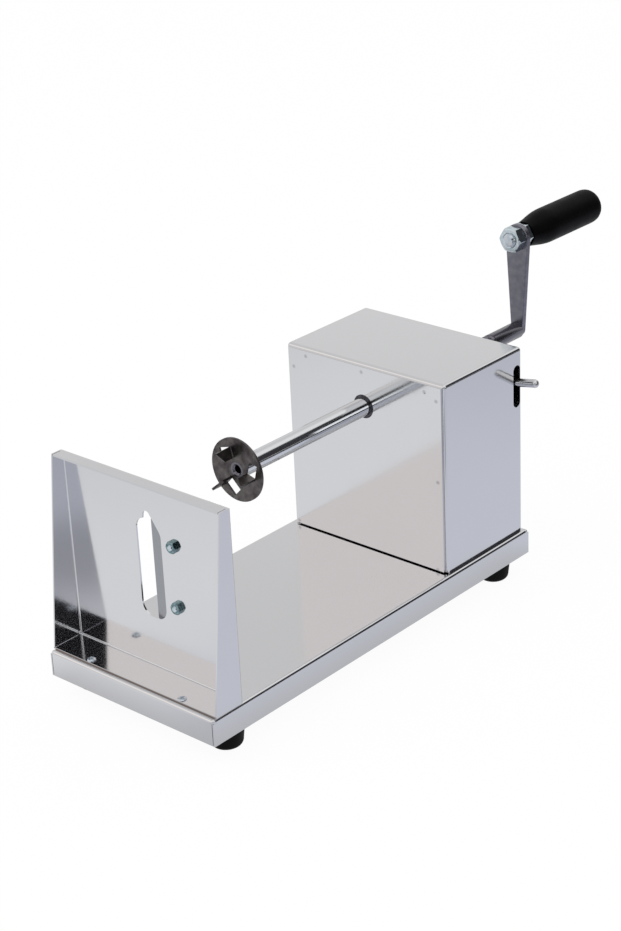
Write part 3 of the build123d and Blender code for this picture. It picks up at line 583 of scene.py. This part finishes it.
def ring_piece(name, surfaces, material, body, stands_for=None, closed=False):
    """One object from ring surfaces; closed ones join their last ring to their first, others get caps."""
    points, faces, first = [], [], 0
    for surface in surfaces:
        rows = len(surface)
        faces += (grid_faces(rows, AROUND, closed, True) + first).tolist()
        if not closed:
            ring = np.arange(AROUND)
            faces += [(first + ring[::-1]).tolist(), (first + (rows - 1) * AROUND + ring).tolist()]
        points.append(surface.reshape(-1, 3))
        first += rows * AROUND
    base = np.array([FRONT_EDGE_X, SPINDLE_Y, DECK_Z])
    piece = make_piece(name, (np.concatenate(points) + base) * MM, faces, material, body)
    if stands_for:
        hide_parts(stands_for)
    print(name, len(faces), "faces")
    return piece


# %% [markdown]
# ## Feed screw
# A bar of 12 mm is turned down to 10 mm in front, where the tube goes over it, and drilled for the
# skewer, with a small countersink that guides it in. The rolled thread reaches as far as the half nut
# ever travels, and the last part before the crank stays smooth.

# %% Feed screw with its bore, shoulder, thread and smooth end
AXIS = 103.5
BORE_END, BORE_MOUTH, NOSE_END, SHOULDER = 225.4, 105.4, 104.3, 230.2
BORE_RADIUS, MOUTH_RADIUS, NOSE_RADIUS, SCREW_RADIUS, CORE_RADIUS = 2.6, 3.7, 5.0, 6.0, 4.9
LEAD, LEAD_DEPTH, LEAD_STEP = 5.0, 1.0, 0.35
screw_rows = joined(
    profile((BORE_END, 0.05), (BORE_END, BORE_RADIUS), (BORE_MOUTH, BORE_RADIUS), (NOSE_END, MOUTH_RADIUS),
            (NOSE_END, NOSE_RADIUS), (SHOULDER, NOSE_RADIUS), (SHOULDER, CORE_RADIUS)),
    thread(230.3, 363.9, SCREW_RADIUS, LEAD, LEAD_DEPTH, LEAD_STEP),
    profile((364.0, 5.0), (364.4, 5.95), (394.9, 5.95), (395.0, 5.9)))
ring_piece("threaded_spindle", [rings(*screw_rows, (0, 0, AXIS))], cut_thread_steel, "crank", "feed_screw")

# %% [markdown]
# ## Crank bolt and nuts
# A bolt with a socket head comes through the grip from behind. One thin nut holds it to the arm from
# the grip's side and a full one from the front. Blue passivated zinc has a cool tint in patches.

# %% Crank bolt and its two nuts
GRIP_AXIS, GRIP_NUT_FLATS, GRIP_BOLT_RADIUS, SOCKET_FLATS = 171.7, 16.0, 5.0, 8.0
for name, x, height, node in (("front_grip_nut", 387.0, 8.0, "grip_nut_front"),
                              ("rear_grip_nut", 399.0, 4.5, "grip_nut_rear")):
    surface = nut(GRIP_NUT_FLATS, height, GRIP_BOLT_RADIUS, (x, 0, GRIP_AXIS))
    ring_piece(name, [surface], blue_zinc, "crank", node, closed=True)

socket = hexagon(SOCKET_FLATS)
bolt_rows = joined(
    profile((384.5, 3.0), (384.6, 3.9)),
    thread(385.4, 387.4, 4.95, 1.5, 0.55, 0.15),
    profile((387.6, GRIP_BOLT_RADIUS), (476.3, GRIP_BOLT_RADIUS), (476.3, 7.4), (477.0, 8.0), (481.0, 8.0),
            (481.3, 7.6), (481.3, socket), (478.0, socket)))
ring_piece("crank_bolt", [rings(*bolt_rows, (0, 0, GRIP_AXIS))], bright_zinc, "crank", "grip_bolt")

# %% [markdown]
# ## Blade bolts
# Two M4 bolts with round heads hold the blade to the panel's back, with their nuts in front.

# %% Blade bolts and nuts
BLADE_BOLT_Y, BLADE_BOLT_ZS, BLADE_BOLT_RADIUS = -21.2, (48.6, 89.3), 2.0
BLADE_NUT_X, BLADE_NUT_FLATS, BLADE_NUT_HEIGHT = 22.7, 7.0, 2.8
blade_nuts = [nut(BLADE_NUT_FLATS, BLADE_NUT_HEIGHT, BLADE_BOLT_RADIUS, (BLADE_NUT_X, BLADE_BOLT_Y, z))
              for z in BLADE_BOLT_ZS]
ring_piece("stand_hex_nuts", blade_nuts, dark_zinc, "frame", "blade_nuts", closed=True)
short_rows = joined(
    profile((22.0, 1.2), (22.05, 1.6)),
    thread(22.4, 25.5, 1.98, 0.7, 0.25, 0.1),
    profile((25.6, BLADE_BOLT_RADIUS), (27.7, BLADE_BOLT_RADIUS),
            (27.7, 4.0), (28.9, 4.0), (29.8, 3.2), (30.1, 2.0)))
blade_screws = [rings(*short_rows, (0, BLADE_BOLT_Y, z)) for z in BLADE_BOLT_ZS]
ring_piece("blade_screws", blade_screws, blue_zinc, "frame", "blade_bolts")

# %% [markdown]
# ## Flange screws and corner beads
# Low screws with a cross recess hold the stand's flange to the deck. Where the tray's skirts meet, a
# small bead of weld closes each corner.

# %% Flange screws with a cross recess, and the beads in the tray's corners
SCREW_X, SCREW_YS, SHANK_RADIUS = 6.2, (-39.0, 39.0), 1.5
HEAD_RADIUS, HEAD_UNDERSIDE, HEAD_RISE, DOME_WIDTH = 2.8, 1.2, 1.3, 2.9
ARM_HALF, ARM_LENGTH, RECESS_DEPTH = 0.45, 1.9, 0.8


def cross_headed(x, y):
    """An upright screw: its head is an ellipse's top, less a cross whose walls slope a little."""
    out = np.linspace(HEAD_RADIUS, 0.05, 16)[:, None]
    top = HEAD_UNDERSIDE + HEAD_RISE * np.sqrt(1 - (out / DOME_WIDTH) ** 2)
    from_arm = np.minimum(np.abs(np.cos(angle)), np.abs(np.sin(angle))) * out
    recess = np.clip((ARM_HALF - from_arm) / 0.15, 0, 1) * np.clip((ARM_LENGTH - out) / 0.3, 0, 1)
    shank = profile((-4.6, 1.2), (-4.4, SHANK_RADIUS),
                    (HEAD_UNDERSIDE, SHANK_RADIUS), (HEAD_UNDERSIDE, HEAD_RADIUS))
    head = top - RECESS_DEPTH * recess, out + 0 * angle
    return rings(*joined(shank, head), (x, y, 0), axis=2)


flange_screws = [cross_headed(SCREW_X, y) for y in SCREW_YS]
ring_piece("cross_head_screws", flange_screws, bright_zinc, "frame", "stand_screws")

BEAD_RADIUS, BEAD_Z = 1.9, -1.85
lean = np.radians(np.linspace(-80, 80, 12))[:, None]
bead_rows = BEAD_RADIUS * np.sin(lean), BEAD_RADIUS * np.cos(lean) + 0 * angle
beads = [rings(*bead_rows, (x, y, BEAD_Z), axis=2) for x in (1.9, 310.1) for y in (-68.1, 68.1)]
ring_piece("corner_beads", beads, polished_sheet, "frame")
